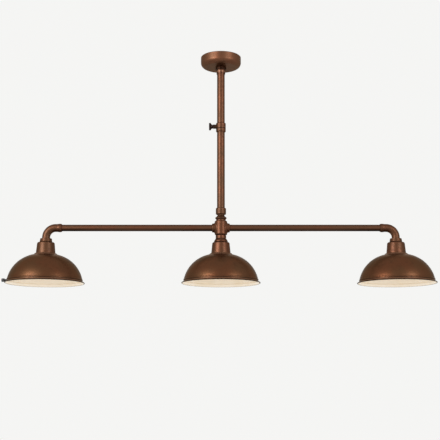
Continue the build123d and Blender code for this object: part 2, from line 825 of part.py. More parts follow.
centre_cap_top = cup_top + centre_cap_height
with BuildPart() as centre_coupling:
    coupling_r = centre_coupling_diameter / 2
    with BuildSketch(upright()):
        with BuildLine():
            Polyline(
                (nipple_bore / 2, centre_cap_top - cap_socket),
                (nipple_bore / 2, cross_bottom + cross_floor),
                (nipple_diameter / 2, cross_bottom + cross_floor),
                (nipple_diameter / 2, cross_bottom),
                (coupling_r - centre_coupling_edge, cross_bottom),
            )
            RadiusArc(
                (coupling_r - centre_coupling_edge, cross_bottom),
                (coupling_r, cross_bottom - centre_coupling_edge),
                centre_coupling_edge,
            )
            Line(
                (coupling_r, cross_bottom - centre_coupling_edge),
                (coupling_r, centre_cap_top + centre_coupling_edge),
            )
            RadiusArc(
                (coupling_r, centre_cap_top + centre_coupling_edge),
                (coupling_r - centre_coupling_edge, centre_cap_top),
                centre_coupling_edge,
            )
            Polyline(
                (coupling_r - centre_coupling_edge, centre_cap_top),
                (elbow_diameter / 2, centre_cap_top),
                (elbow_diameter / 2, centre_cap_top - cap_socket),
                (nipple_bore / 2, centre_cap_top - cap_socket),
            )
        make_face()
    revolve(axis=upright_axis())
save(centre_coupling, "centre_coupling")

# ---------------------------------------------------------------- lamps

shade_seat = cup_foot_diameter / 2 + shade_seat_margin
shade_crown = shade_seat + shade_neck_width
shade_foot = shade_rim_diameter / 2 - shade_lip_width
crown_z = shade_top - shade_neck_drop
foot_z = rim_z + shade_lip_height
shade_roll = shade_roll_diameter / 2
roll_r = shade_rim_diameter / 2 - shade_roll
roll_z = rim_z + shade_roll
dome_across = shade_foot - shade_crown
dome_down = crown_z - foot_z
dome_chord = sqrt(dome_across**2 + dome_down**2)
dome_radius = (dome_chord**2 / 4 + shade_dome_bulge**2) / (2 * shade_dome_bulge)
dome_reach = dome_radius - shade_dome_bulge
dome_centre_r = (shade_crown + shade_foot) / 2 - dome_reach * dome_down / dome_chord
dome_centre_z = (crown_z + foot_z) / 2 - dome_reach * dome_across / dome_chord


def dome_point(z, inset=0.0):
    """Point of the shade's dome at height z, set in from its outer face."""
    return (dome_centre_r + sqrt((dome_radius - inset) ** 2 - (z - dome_centre_z) ** 2), z)


for name, lamp_x in lamps.items():
    in_middle = name == "centre"
    cap_top = centre_cap_top if in_middle else side_cap_top
    cap_radius = (centre_cap_diameter if in_middle else side_cap_diameter) / 2
    axis = upright_axis(lamp_x)

    with BuildPart() as cap_ring:
        cap_neck = cap_radius - (centre_cap_taper if in_middle else side_cap_taper)
        with BuildSketch(upright(lamp_x)):
            Polygon(
                (nipple_diameter / 2, cup_top),
                (cap_radius - cap_edge, cup_top),
                (cap_radius, cup_top + cap_edge),
                (cap_radius, cup_top + 2 * cap_edge),
                (cap_neck, cap_top),
                (elbow_diameter / 2, cap_top),
                (elbow_diameter / 2, cap_top - cap_socket),
                (nipple_diameter / 2, cap_top - cap_socket),
                align=None,
            )
        revolve(axis=axis)
    save(cap_ring, f"cap_ring_{name}")

    with BuildPart() as cup:
        top_r = cup_top_diameter / 2
        foot_r = cup_foot_diameter / 2
        inner_top = cup_top - cup_wall
        with BuildSketch(upright(lamp_x)):
            with BuildLine():
                Line((nipple_diameter / 2, cup_top), (top_r - cup_shoulder, cup_top))
                ThreePointArc(
                    (top_r - cup_shoulder, cup_top),
                    (top_r - cup_shoulder * (1 - sin(pi / 4)), cup_top - cup_shoulder * (1 - cos(pi / 4))),
                    (top_r, cup_top - cup_shoulder),
                )
                Polyline(
                    (top_r, cup_top - cup_shoulder),
                    (foot_r, cup_bottom),
                    (foot_r - cup_wall, cup_bottom),
                    (top_r - cup_wall, cup_top - cup_shoulder),
                    (top_r - cup_shoulder, inner_top),
                    (nipple_diameter / 2, inner_top),
                    (nipple_diameter / 2, cup_top),
                )
            make_face()
        revolve(axis=axis)
    save(cup, f"cup_{name}")

    with BuildPart() as lampholder:
        collar_top_z = shade_top + holder_collar_height
        shoulder_z = holder_top - holder_cap_height
        skirt_foot = shade_top - holder_skirt
        cavity_z = shade_top + holder_floor
        with BuildSketch(upright(lamp_x)):
            with BuildLine():
                Polyline(
                    (0, lead_end),
                    (nipple_diameter / 2, lead_end),
                    (nipple_diameter / 2, holder_top),
                    (holder_cap_diameter / 2, holder_top),
                    (holder_cap_diameter / 2, shoulder_z),
                    (holder_diameter / 2 - holder_shoulder, shoulder_z),
                )
                RadiusArc(
                    (holder_diameter / 2 - holder_shoulder, shoulder_z),
                    (holder_diameter / 2, shoulder_z - holder_shoulder),
                    holder_shoulder,
                )
                Polyline(
                    (holder_diameter / 2, shoulder_z - holder_shoulder),
                    (holder_diameter / 2, collar_top_z),
                    (holder_skirt_diameter / 2 + holder_collar_width, collar_top_z),
                    (holder_skirt_diameter / 2 + holder_collar_width, shade_top),
                    (holder_skirt_diameter / 2, shade_top),
                    (holder_skirt_diameter / 2, skirt_foot),
                    (holder_cavity / 2, skirt_foot),
                    (holder_cavity / 2, cavity_z),
                    (contact_pocket_diameter / 2, cavity_z),
                    (contact_pocket_diameter / 2, cavity_z + contact_pocket),
                    (0, cavity_z + contact_pocket),
                    (0, lead_end),
                )
            make_face()
        revolve(axis=axis)
    save(lampholder, f"lampholder_{name}")

    with BuildPart() as screw_shell:
        shell_r = shell_bore / 2
        with BuildSketch(upright(lamp_x)):
            Polygon(
                (shell_flange_hole / 2, cavity_z),
                (shell_r + shell_wall, cavity_z),
                (shell_r + shell_wall, cavity_z - shell_length),
                (shell_r, cavity_z - shell_length),
                (shell_r, cavity_z - shell_wall),
                (shell_flange_hole / 2, cavity_z - shell_wall),
                align=None,
            )
        revolve(axis=axis)
    save(screw_shell, f"screw_shell_{name}")

    with BuildPart() as contact:
        contact_top = cavity_z + contact_pocket
        with BuildSketch(level(contact_top, lamp_x)):
            Circle(contact_diameter / 2)
        extrude(amount=-contact_base)
        with BuildSketch(level(contact_top - contact_base, lamp_x)):
            Circle(contact_tip_diameter / 2)
        extrude(amount=-contact_tip, taper=contact_taper)
    save(contact, f"contact_{name}")

    with BuildPart() as shade_ring:
        ring_seat = shade_top - shade_wall
        ring_r = holder_skirt_diameter / 2 + shade_ring_wall
        with BuildSketch(level(ring_seat, lamp_x)):
            Circle(ring_r)
            Circle(holder_skirt_diameter / 2, mode=Mode.SUBTRACT)
        extrude(amount=-shade_ring_height)
        with BuildSketch(level(ring_seat - shade_ring_height, lamp_x)):
            with PolarLocations(ring_r, shade_ring_notches):
                Circle(shade_ring_notch_radius)
        extrude(amount=shade_ring_height / 2, mode=Mode.SUBTRACT)
    save(shade_ring, f"shade_ring_{name}")

    with BuildPart() as shade:
        hole_r = holder_skirt_diameter / 2 + shade_hole_gap
        bead_top = foot_z + shade_bead_height
        bead_middle = (bead_top + foot_z) / 2
        bead_r = dome_point(bead_middle)[0] + shade_bead_out
        flare_r = roll_r - shade_roll * 0.8
        flare_z = roll_z + shade_roll * 0.6
        with BuildSketch(upright(lamp_x)):
            with BuildLine():
                Line((hole_r, shade_top), (shade_seat, shade_top))
                RadiusArc((shade_seat, shade_top), (shade_crown, crown_z), -shade_neck_radius)
                RadiusArc((shade_crown, crown_z), dome_point(bead_top), dome_radius)
                ThreePointArc(dome_point(bead_top), (bead_r, bead_middle), dome_point(foot_z))
                SagittaArc(dome_point(foot_z), (flare_r, flare_z), -shade_lip_bulge)
                ThreePointArc(
                    (flare_r, flare_z),
                    (roll_r + shade_roll, roll_z),
                    (roll_r - shade_roll * 0.8, roll_z - shade_roll * 0.6),
                )
                Line(
                    (roll_r - shade_roll * 0.8, roll_z - shade_roll * 0.6),
                    (roll_r - shade_roll, roll_z + shade_roll * 0.2),
                )
                SagittaArc(
                    (roll_r - shade_roll, roll_z + shade_roll * 0.2),
                    dome_point(foot_z, shade_wall),
                    shade_lip_bulge,
                )
                RadiusArc(
                    dome_point(foot_z, shade_wall),
                    dome_point(crown_z - shade_wall, shade_wall),
                    -(dome_radius - shade_wall),
                )
                RadiusArc(
                    dome_point(crown_z - shade_wall, shade_wall),
                    (shade_seat - shade_wall, shade_top - shade_wall),
                    shade_neck_radius + shade_wall,
                )
                Polyline(
                    (shade_seat - shade_wall, shade_top - shade_wall),
                    (hole_r, shade_top - shade_wall),
                    (hole_r, shade_top),
                )
            make_face()
        revolve(axis=axis)
        if name == "left":
            with BuildSketch(facing_out(-1, lamp_spacing + shade_foot / 2, switch_z)):
                Circle(switch_bush_diameter / 2)
            extrude(amount=shade_foot, mode=Mode.SUBTRACT)
    save(shade, f"shade_{name}")

with BuildPart() as lamp_nipples:
    for name, lamp_x in lamps.items():
        web_z = (centre_cap_top if name == "centre" else side_cap_top) - cap_socket
        with BuildSketch(level(lead_end, lamp_x)):
            Circle(nipple_diameter / 2)
            Circle(nipple_bore / 2, mode=Mode.SUBTRACT)
        extrude(amount=web_z - lead_end)
save(lamp_nipples, "lamp_nipples")

with BuildPart() as lamp_nuts:
    for lamp_x in lamps.values():
        with BuildSketch(level(holder_top, lamp_x)):
            RegularPolygon(lamp_nut_flats / 2, 6, major_radius=False)
            Circle(nipple_diameter / 2, mode=Mode.SUBTRACT)
        extrude(amount=lamp_nut_height)
save(lamp_nuts, "lamp_nuts")

# ---------------------------------------------------------------- switch on the left shade

switch_wall_out = lamp_spacing + dome_point(switch_z)[0] + shade_bead_out
switch_body_radius = switch_body_diameter / 2
switch_seat_r = dome_point(switch_z + switch_body_radius, shade_wall)[0]
switch_wall_in = lamp_spacing + sqrt(switch_seat_r**2 - switch_body_radius**2)
switch_bush_end = switch_wall_out + switch_bush_reach
knob_tip = lamp_spacing + shade_rim_diameter / 2 + switch_knob_past_rim
knob_back = switch_bush_end + rest_gap

with BuildPart() as switch_body:
    with BuildSketch(facing_out(-1, switch_wall_in, switch_z)):
        Circle(switch_body_radius)
    extrude(amount=-switch_body_depth)
    chamfer(switch_body.faces().sort_by(Axis.X)[-1].edges(), switch_body_edge)
    with BuildSketch(facing_out(-1, switch_wall_in, switch_z)):
        Circle(switch_bush_diameter / 2)
    extrude(amount=switch_bush_end - switch_wall_in)
    with BuildSketch(facing_out(-1, switch_bush_end, switch_z)):
        Circle(switch_spindle_diameter / 2 + running_fit)
    extrude(amount=-(switch_bush_end - switch_wall_in) - switch_spindle_depth, mode=Mode.SUBTRACT)
save(switch_body, "switch_body")

with BuildPart() as switch_nut:
    with BuildSketch(facing_out(-1, switch_wall_out, switch_z)):
        Circle(switch_bush_diameter / 2 + switch_nut_wall)
        Circle(switch_bush_diameter / 2, mode=Mode.SUBTRACT)
    extrude(amount=switch_nut_thickness)
save(switch_nut, "switch_nut")

with BuildPart() as switch_knob:
    spindle_end = switch_wall_in - switch_spindle_depth + rest_gap
    head_start = knob_tip - switch_knob_head
    knob_r = switch_knob_diameter / 2
    neck_r = switch_knob_neck / 2
    with BuildSketch(upright()):
        Polygon(
            (-spindle_end, switch_z),
            (-spindle_end, switch_z + switch_spindle_diameter / 2),
            (-knob_back, switch_z + switch_spindle_diameter / 2),
            (-knob_back, switch_z + neck_r),
            (-head_start + switch_knob_flare, switch_z + neck_r),
            (-head_start, switch_z + knob_r),
            (-knob_tip + switch_knob_edge, switch_z + knob_r),
            (-knob_tip, switch_z + knob_r - switch_knob_edge),
            (-knob_tip, switch_z),
            align=None,
        )
    revolve(axis=Axis((0, 0, switch_z), (1, 0, 0)))
save(switch_knob, "switch_knob")
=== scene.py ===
import bpy
from math import atan2, cos, pi, radians, sin, sqrt
from mathutils import Matrix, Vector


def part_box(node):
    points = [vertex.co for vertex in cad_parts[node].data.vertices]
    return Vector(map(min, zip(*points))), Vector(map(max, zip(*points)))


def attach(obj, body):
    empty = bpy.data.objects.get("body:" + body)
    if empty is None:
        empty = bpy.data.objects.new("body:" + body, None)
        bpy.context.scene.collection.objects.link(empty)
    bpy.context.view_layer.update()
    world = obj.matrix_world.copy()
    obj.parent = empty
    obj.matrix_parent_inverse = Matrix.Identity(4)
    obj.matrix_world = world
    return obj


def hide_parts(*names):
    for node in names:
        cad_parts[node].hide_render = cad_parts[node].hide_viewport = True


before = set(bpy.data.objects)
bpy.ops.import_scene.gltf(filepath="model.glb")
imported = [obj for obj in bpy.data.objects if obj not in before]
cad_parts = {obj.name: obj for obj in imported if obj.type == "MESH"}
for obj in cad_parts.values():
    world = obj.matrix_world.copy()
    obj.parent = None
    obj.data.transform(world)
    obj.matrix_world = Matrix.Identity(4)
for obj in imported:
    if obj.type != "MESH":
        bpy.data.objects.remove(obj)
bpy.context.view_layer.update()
bpy.ops.object.select_all(action="DESELECT")


# ---------------------------------------------------------------- strap on the ceiling box
# A pressed strap is screwed to the box in the ceiling and carries the whole fitting on a threaded
# nipple. It and its nuts are bright zinc-plated steel; the earth screw beside them is dyed green.

class Wire:
    """What a shader node puts out. Sums are written with it as with a number."""

    def __init__(self, socket):
        self.socket = socket

    def sum(self, operation, first, second):
        tree = self.socket.id_data
        step = tree.nodes.new("ShaderNodeMath")
        step.operation = operation
        for spot, value in zip(step.inputs, (first, second)):
            if isinstance(value, Wire):
                tree.links.new(value.socket, spot)
            else:
                spot.default_value = value
        return Wire(step.outputs[0])

    def __add__(self, other):
        return self.sum("ADD", self, other)

    def __radd__(self, other):
        return self.sum("ADD", other, self)

    def __sub__(self, other):
        return self.sum("SUBTRACT", self, other)

    def __rsub__(self, other):
        return self.sum("SUBTRACT", other, self)

    def __mul__(self, other):
        return self.sum("MULTIPLY", self, other)

    def __rmul__(self, other):
        return self.sum("MULTIPLY", other, self)


class Finish:
    """A finish in the making: what is the same all over is given at the start."""

    def __init__(self, name, fixed):
        self.material = bpy.data.materials.new(name)
        self.material.use_nodes = True
        self.tree = self.material.node_tree
        self.shader = self.tree.nodes["Principled BSDF"]
        for spot, value in fixed.items():
            self.shader.inputs[spot].default_value = value
        self.place = self.node("ShaderNodeTexCoord", {}, {}, "Object")

    def node(self, kind, settings, sockets, out=0):
        made = self.tree.nodes.new(kind)
        for name, value in settings.items():
            setattr(made, name, value)
        for spot, value in sockets.items():
            if isinstance(value, Wire):
                self.tree.links.new(value.socket, made.inputs[spot])
            else:
                made.inputs[spot].default_value = value
        return Wire(made.outputs[out])

    def noise(self, size, detail=2.0, rough=0.5, stretch=None):
        """Cloudy pattern with spots about this many metres across."""
        place = self.place
        if stretch:
            place = self.node("ShaderNodeMapping", {"vector_type": "POINT"},
                              {"Vector": place, "Scale": stretch})
        return self.node("ShaderNodeTexNoise", {},
                         {"Vector": place, "Scale": 1 / size, "Detail": detail, "Roughness": rough},
                         "Fac")

    def along(self, axis):
        """How far each point lies along the axis X, Y or Z."""
        return self.node("ShaderNodeSeparateXYZ", {}, {"Vector": self.place}, axis)

    def rise(self, value, low, high):
        """0 below low and 1 above high, with a soft step between."""
        return self.node("ShaderNodeMapRange", {"interpolation_type": "SMOOTHSTEP"},
                         {"Value": value, "From Min": low, "From Max": high})

    def blend(self, factor, first, second):
        """One colour passing into the other as the factor goes from 0 to 1."""
        return self.node("ShaderNodeMix", {"data_type": "RGBA"},
                         {0: factor, 6: first, 7: second}, 2)

    def bump(self, height, depth):
        """Relief this many metres deep, pressed in instead of raised where depth is negative."""
        return self.node("ShaderNodeBump", {},
                         {"Height": height, "Distance": depth, "Strength": 1.0})

    def done(self, sockets):
        """Links what varies over the surface, and hands over the material."""
        for spot, value in sockets.items():
            self.tree.links.new(value.socket, self.shader.inputs[spot])
        return self.material


def dress(material, *nodes):
    """Puts the material in every slot of these pieces of the CAD part."""
    for node in nodes:
        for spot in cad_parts[node].material_slots:
            spot.material = material


def zinc_plate(name, bright, dull):
    """Plating with a faint crystal pattern, handling marks and a soft grey bloom."""
    zinc = Finish(name, {"Metallic": 1.0})
    crystals = zinc.node("ShaderNodeTexVoronoi", {"feature": "F1"},
                         {"Vector": zinc.place, "Scale": 420.0}, "Color")
    crystal = zinc.node("ShaderNodeSeparateColor", {}, {"Color": crystals}, "Red")
    bloom = zinc.rise(zinc.noise(0.008, 4.0, 0.6), 0.42, 0.66)
    marks = zinc.rise(zinc.noise(0.0009, 2.0, 0.5, (1.0, 1.0, 0.12)), 0.58, 0.70)
    colour = zinc.blend(bloom * 0.7 + crystal * 0.2, bright, dull)
    rough = 0.24 + 0.16 * bloom + 0.08 * crystal + 0.12 * marks
    return zinc.done({"Base Color": colour, "Roughness": rough,
                      "Normal": zinc.bump(marks + crystal, 0.00002)})


plated_steel = zinc_plate("zinc plated steel", (0.66, 0.66, 0.63, 1), (0.40, 0.40, 0.385, 1))
dress(plated_steel, "crossbar", "stem_hanger", "nipple_nuts", "lamp_nuts", "neck_clip")
dress(zinc_plate("green dyed zinc", (0.07, 0.34, 0.13, 1), (0.035, 0.19, 0.075, 1)), "ground_screw")


# ---------------------------------------------------------------- threaded nipples
# One short nipple hangs the stem from the strap, and one holds each lampholder in its cup. They are
# plated steel with a 1 mm rolled thread from end to end, and wires run through them.

def threaded(name, pitch, bright, dull):
    """Plated finish with the thread's ridges, which wind once round the stem for each pitch."""
    steel = Finish(name, {"Metallic": 1.0})
    x, y, z = steel.along("X"), steel.along("Y"), steel.along("Z")
    turn = x.sum("ARCTAN2", y, x)
    ridge = z.sum("SINE", z * (2 * pi / pitch) + turn, 0.0)
    bloom = steel.noise(0.004, 3.0, 0.6)
    # The grooves are painted darker and the crests lighter: painted shade and highlight along the
    # thread.
    colour = steel.blend(0.35 - 0.3 * ridge + 0.3 * bloom, bright, dull)
    return steel.done({"Base Color": colour, "Roughness": 0.26 + 0.2 * bloom,
                       "Normal": steel.bump(ridge, 0.00022)})


nipple_pitch = 0.001
threaded_steel = threaded("threaded steel", nipple_pitch, (0.64, 0.63, 0.60, 1),
                          (0.26, 0.25, 0.235, 1))
dress(threaded_steel, "nipple", "lamp_nipples")


# ---------------------------------------------------------------- canopy
# A spun steel cup hides the strap and the wires. A tapered turned ring under it slides on the stem
# and is pinched by a small screw. Both are antique bronze. The cup takes a lighter copy of it,
# which paints on brighter light, and the ring has painted shade and a painted highlight in bands.

def antique_bronze(name, red, olive, dark, rubbed, scale=1.0, gloss=0.0, creases=(), ridges=(),
                   boss=None):
    """Brown bronze, mottled by hand with a darker glaze, rubbed through in spots, then lacquered.
    Painted shade is laid on as dark bands round the creases, and painted highlight as light bands
    round the ridges. Each of these rings is given as its height and how far it spreads. A side boss
    is painted in shade too, from where this starts, as a distance from the stem's axis, to where it
    is full."""
    bronze = Finish(name, {"Metallic": 1.0, "Specular Tint": (0.52, 0.49, 0.44, 1),
                           "Coat Weight": 0.11, "Coat Roughness": 0.30})
    drift = bronze.rise(bronze.noise(0.060 * scale, 3.0, 0.55), 0.34, 0.66)
    glaze = bronze.rise(bronze.noise(0.010 * scale, 6.0, 0.66), 0.47, 0.76)
    pools = bronze.rise(bronze.noise(0.0042 * scale, 4.0, 0.6), 0.56, 0.76)
    spots = bronze.rise(bronze.noise(0.0026, 5.0, 0.7), 0.60, 0.76)
    skin = bronze.noise(0.0011, 2.0, 0.5)
    colour = bronze.blend(drift, red, olive)
    colour = bronze.blend(glaze * 0.32, colour, dark)
    colour = bronze.blend(pools * 0.20, colour, dark)
    colour = bronze.blend(spots * 0.35 * (1.0 - glaze), colour, rubbed)
    # Painted light: crease rings are painted shade, ridge rings painted highlight, the boss painted
    # shade.
    z = bronze.along("Z")
    rings = [(*crease, dark) for crease in creases] + [(*ridge, rubbed) for ridge in ridges]
    for ring, spread, painted_ring_tone in rings:
        away = z.sum("ABSOLUTE", z - ring, 0.0)
        colour = bronze.blend((1.0 - bronze.rise(away, 0.0, spread)) * 0.9, colour, painted_ring_tone)
    if boss:
        outward = 0.0 - bronze.along("X")
        colour = bronze.blend(bronze.rise(outward, *boss) * 0.85, colour, dark)
    rough = 0.40 - gloss + 0.12 * glaze - 0.06 * spots + 0.06 * drift + 0.05 * skin
    height = 0.5 * skin + 0.8 * pools + 0.4 * spots
    return bronze.done({"Base Color": colour, "Roughness": rough,
                        "Normal": bronze.bump(height, 0.00005)})


red_brown, olive_brown = (0.104, 0.039, 0.019, 1), (0.088, 0.040, 0.020, 1)
# The dark glaze colour also paints shade in creases, and the rubbed colour paints highlights on
# ridges.
glaze_and_painted_shade, rubbed_and_painted_highlight = (0.036, 0.016, 0.009, 1), (0.20, 0.10, 0.060, 1)
coarse = 1.25
bronze = antique_bronze("antique bronze", red_brown, olive_brown, glaze_and_painted_shade, rubbed_and_painted_highlight)
# A lighter copy of the bronze for the canopy cup: painted light, as if it caught brighter light.
lighter_lit_bronze = antique_bronze("painted light bronze", (0.138, 0.054, 0.027, 1),
                             (0.120, 0.056, 0.029, 1), (0.050, 0.022, 0.012, 1),
                             (0.23, 0.12, 0.070, 1), coarse)
dress(lighter_lit_bronze, "canopy")
# The ring's bands: painted shadow under the canopy, a painted highlight on its chamfer, painted
# shade at its waist.
ring_bronze = antique_bronze("ring bronze", red_brown, olive_brown, glaze_and_painted_shade, rubbed_and_painted_highlight,
                             creases=((-0.0425, 0.0080), (-0.0560, 0.0018)),
                             ridges=((-0.0512, 0.0035),))
dress(ring_bronze, "canopy_ring")
dress(plated_steel, "canopy_ring_screw")


# ---------------------------------------------------------------- stem
# Two lengths of thin tube, one telescoping out of the other on a plated inner tube that runs in
# turned brass rings. A sleeved lead goes down inside. The outer tubes are antique bronze.

def turned_brass(name):
    """Plain brass as it comes off the lathe, dulled in spots."""
    brass = Finish(name, {"Metallic": 1.0})
    tarnish = brass.rise(brass.noise(0.006, 5.0, 0.65), 0.45, 0.72)
    lathe = brass.noise(0.0006, 1.0, 0.5, (0.05, 0.05, 1.0))
    colour = brass.blend(tarnish, (0.78, 0.57, 0.25, 1), (0.42, 0.27, 0.11, 1))
    rough = 0.22 + 0.2 * tarnish + 0.06 * lathe
    return brass.done({"Base Color": colour, "Roughness": rough,
                       "Normal": brass.bump(lathe, 0.00002)})


def drawn_tube(name):
    """Smooth plating over a drawn tube, with fine lines along it."""
    tube = Finish(name, {"Metallic": 1.0})
    lines = tube.noise(0.0012, 2.0, 0.5, (1.0, 1.0, 0.02))
    worn = tube.rise(tube.noise(0.020, 4.0, 0.6, (1.0, 1.0, 0.15)), 0.50, 0.72)
    colour = tube.blend(worn, (0.105, 0.056, 0.033, 1), (0.26, 0.15, 0.09, 1))
    rough = 0.24 + 0.10 * lines + 0.08 * worn
    return tube.done({"Base Color": colour, "Roughness": rough,
                      "Normal": tube.bump(lines, 0.00002)})


def sleeve(name, colour, worn):
    """Smooth flexible covering of a mains lead, a little dusty."""
    cover = Finish(name, {"Specular IOR Level": 0.4})
    dust = cover.rise(cover.noise(0.012, 4.0, 0.6), 0.45, 0.70)
    ripple = cover.noise(0.0016, 2.0, 0.5)
    return cover.done({"Base Color": cover.blend(dust, colour, worn),
                       "Roughness": 0.46 + 0.18 * dust, "Normal": cover.bump(ripple, 0.00004)})


brass = turned_brass("turned brass")
lead_cover = sleeve("lead sleeve", (0.032, 0.032, 0.034, 1), (0.075, 0.072, 0.068, 1))
dress(bronze, "stem_upper", "stem_lower")
dress(drawn_tube("plated inner tube"), "slide_tube")
dress(brass, "slide_bush", "guide_ring", "clamp_pad")
dress(lead_cover, "stem_lead", "lead_left", "lead_centre", "lead_right")


# ---------------------------------------------------------------- clamp collar and thumbscrew
# The collar on top of the lower tube has a side boss. A thumbscrew in it presses a brass pad on the
# inner tube. The screw is blackened steel, with a turned head that is knurled straight.

def start_point(r, z):
    """One loose point in edit mode, from which a profile is drawn."""
    bpy.ops.mesh.primitive_circle_add(vertices=3, radius=0.001, location=(0, 0, 0))
    piece = bpy.context.object
    bpy.ops.object.mode_set(mode="EDIT")
    bpy.ops.mesh.select_all(action="SELECT")
    bpy.ops.mesh.merge(type="CENTER")
    bpy.ops.transform.translate(value=(r, 0, z))
    return piece


# Points that lie closer than this are taken as being in one place.
near = 0.00001


def turned(name, profile, steps, smooth_angle, teeth=0.0, tooth_from=0, tooth_to=0):
    """Turns a closed profile, given as (radius, height) points, about the z axis. Teeth are made by
    pressing in every second point of the rings from tooth_from to tooth_to, by this depth."""
    piece = start_point(*profile[0])
    for (r, z), (next_r, next_z) in zip(profile, profile[1:]):
        bpy.ops.mesh.extrude_region()
        bpy.ops.transform.translate(value=(next_r - r, 0, next_z - z))
    bpy.ops.mesh.select_all(action="SELECT")
    bpy.ops.mesh.spin(steps=steps, angle=2 * pi, center=(0, 0, 0), axis=(0, 0, 1))
    bpy.ops.mesh.select_all(action="SELECT")
    bpy.ops.mesh.remove_doubles(threshold=0.000002)
    bpy.ops.mesh.normals_make_consistent(inside=False)
    bpy.ops.object.mode_set(mode="OBJECT")
    if teeth:
        toothed = profile[tooth_from:tooth_to]
        for point in piece.data.vertices:
            r = sqrt(point.co.x ** 2 + point.co.y ** 2)
            turn = round(atan2(point.co.y, point.co.x) / (2 * pi) * steps)
            on_rim = any(abs(r - tooth_r) + abs(point.co.z - z) < near for tooth_r, z in toothed)
            if on_rim and turn % 2:
                point.co.x *= 1 - teeth / r
                point.co.y *= 1 - teeth / r
    bpy.ops.object.shade_smooth_by_angle(angle=radians(smooth_angle))
    piece.name = name
    return piece


def blackened(name, colour, worn):
    """Steel with a chemical black, rubbed brown on its high edges."""
    black = Finish(name, {"Metallic": 1.0, "Specular Tint": (0.5, 0.4, 0.35, 1)})
    wear = black.rise(black.noise(0.0028, 5.0, 0.65), 0.48, 0.70)
    pits = black.rise(black.noise(0.0007, 2.0, 0.5), 0.60, 0.75)
    return black.done({"Base Color": black.blend(wear, colour, worn),
                       "Roughness": 0.38 + 0.1 * wear + 0.1 * pits,
                       "Normal": black.bump(pits, -0.00003)})


# The screw is turned upright, tip first, and then laid along x. Its head has 48 teeth.
screw_low, screw_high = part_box("thumbscrew")
screw_axis_z = -0.2388
tip, rim_front = -screw_high.x, -screw_low.x
rim_back = rim_front - 0.006
shoulder = 0.0268
shank_r, neck_r, head_r = 0.003, 0.0064, 0.01225
screw_pitch, thread_depth, thread_runout = 0.001, 0.00045, 0.0015
screw_profile = [(0.0, tip), (0.0024, tip), (shank_r, tip + 0.0006)]
turns = int((shoulder - tip - thread_runout) / screw_pitch)
for turn in range(turns):
    crest = tip + 0.0009 + screw_pitch * turn
    screw_profile += [(shank_r, crest), (shank_r - thread_depth, crest + screw_pitch / 2)]
screw_profile += [(shank_r, shoulder - 0.0002), (shank_r, shoulder), (neck_r - 0.0004, shoulder)]
screw_profile += [(neck_r, shoulder + 0.0004), (neck_r + 0.0002, shoulder + 0.0022)]
screw_profile += [(neck_r + 0.0011, shoulder + 0.0043), (neck_r + 0.0031, shoulder + 0.0057)]
knurl_start = len(screw_profile)
screw_profile += [(head_r - 0.0009, rim_back), (head_r, rim_back + 0.0008)]
screw_profile += [(head_r, rim_front - 0.0008), (head_r - 0.0009, rim_front)]
knurl_end = len(screw_profile)
screw_profile += [(head_r - 0.0017, rim_front), (head_r - 0.0024, rim_front - 0.0003)]
screw_profile += [(0.0070, rim_front - 0.0005), (0.0058, rim_front - 0.0010)]
screw_profile += [(0.0, rim_front - 0.0012)]
thumbscrew = turned("thumbscrew_knurled", screw_profile, 96, 28, 0.0004, knurl_start, knurl_end)
laid_along_x = Matrix.Rotation(-pi / 2, 4, "Y")
thumbscrew.data.transform(Matrix.Translation((0, 0, screw_axis_z)) @ laid_along_x)
blackened_steel = blackened("blackened steel", (0.034, 0.022, 0.020, 1), (0.085, 0.050, 0.038, 1))
thumbscrew.data.materials.append(blackened_steel)
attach(thumbscrew, "thumbscrew")
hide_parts("thumbscrew")
# Painted shade: dark bands at the collar's creases and on the side boss round the thumbscrew.
collar_bronze = antique_bronze("collar bronze", red_brown, olive_brown, (0.026, 0.013, 0.009, 1),
                               rubbed_and_painted_highlight, creases=((-0.2275, 0.0025), (-0.2453, 0.0016)),
                               boss=(0.0150, 0.0175))
dress(collar_bronze, "clamp_collar")


# ---------------------------------------------------------------- foot of the stem, cross and arms
# A turned coupling, a neck and a thin lock ring join the stem to a cast cross. Two tubes run from
# it to swept elbows, and a coupling under it carries the middle lamp. All are bronzed, and the
# tubes are painted darker along their tops and undersides, as painted shade.
dress(bronze, "stem_coupling", "stem_neck", "lock_ring", "cross", "centre_coupling")
dress(bronze, "elbow_left", "elbow_right")
bar_low, bar_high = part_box("bar_left")
# Painted shade: dark bands along the tubes' undersides and tops.
bar_bronze = antique_bronze("bar bronze", red_brown, olive_brown, (0.030, 0.014, 0.009, 1),
                            rubbed_and_painted_highlight, coarse,
                            creases=((bar_low.z, 0.0085), (bar_high.z, 0.0045)))
dress(bar_bronze, "bar_left", "bar_right")


# ---------------------------------------------------------------- lamp cups
# Above each shade a drawn cup covers the lampholder, and a turned ring closes it round the elbow or
# coupling that it hangs from. Both take the same antique bronze as the stem.
sides = {"left": -0.566, "centre": 0.0, "right": 0.566}
for side in sides:
    dress(bronze, f"cap_ring_{side}", f"cup_{side}")


# ---------------------------------------------------------------- lampholders
# Moulded brown-black lampholders hang in the cups, each with a ring that clamps the shade. Inside
# is a brass screw shell with a rolled thread, and a sprung contact in the middle of its floor.

def moulded(name, colour, bloom_colour, rough):
    """Moulded plastic: smooth, with a little bloom and tiny flow marks."""
    plastic = Finish(name, {"Specular IOR Level": 0.5})
    bloom = plastic.rise(plastic.noise(0.010, 4.0, 0.6), 0.42, 0.70)
    flow = plastic.noise(0.0022, 3.0, 0.6)
    return plastic.done({"Base Color": plastic.blend(bloom, colour, bloom_colour),
                         "Roughness": rough + 0.14 * bloom + 0.06 * flow,
                         "Normal": plastic.bump(flow, 0.00005)})


phenolic = moulded("moulded phenolic", (0.050, 0.044, 0.040, 1), (0.078, 0.070, 0.062, 1), 0.34)
dress(phenolic, "splice_block", "lead_bushing")
for side in sides:
    dress(phenolic, f"lampholder_{side}", f"shade_ring_{side}")
    dress(brass, f"contact_{side}")

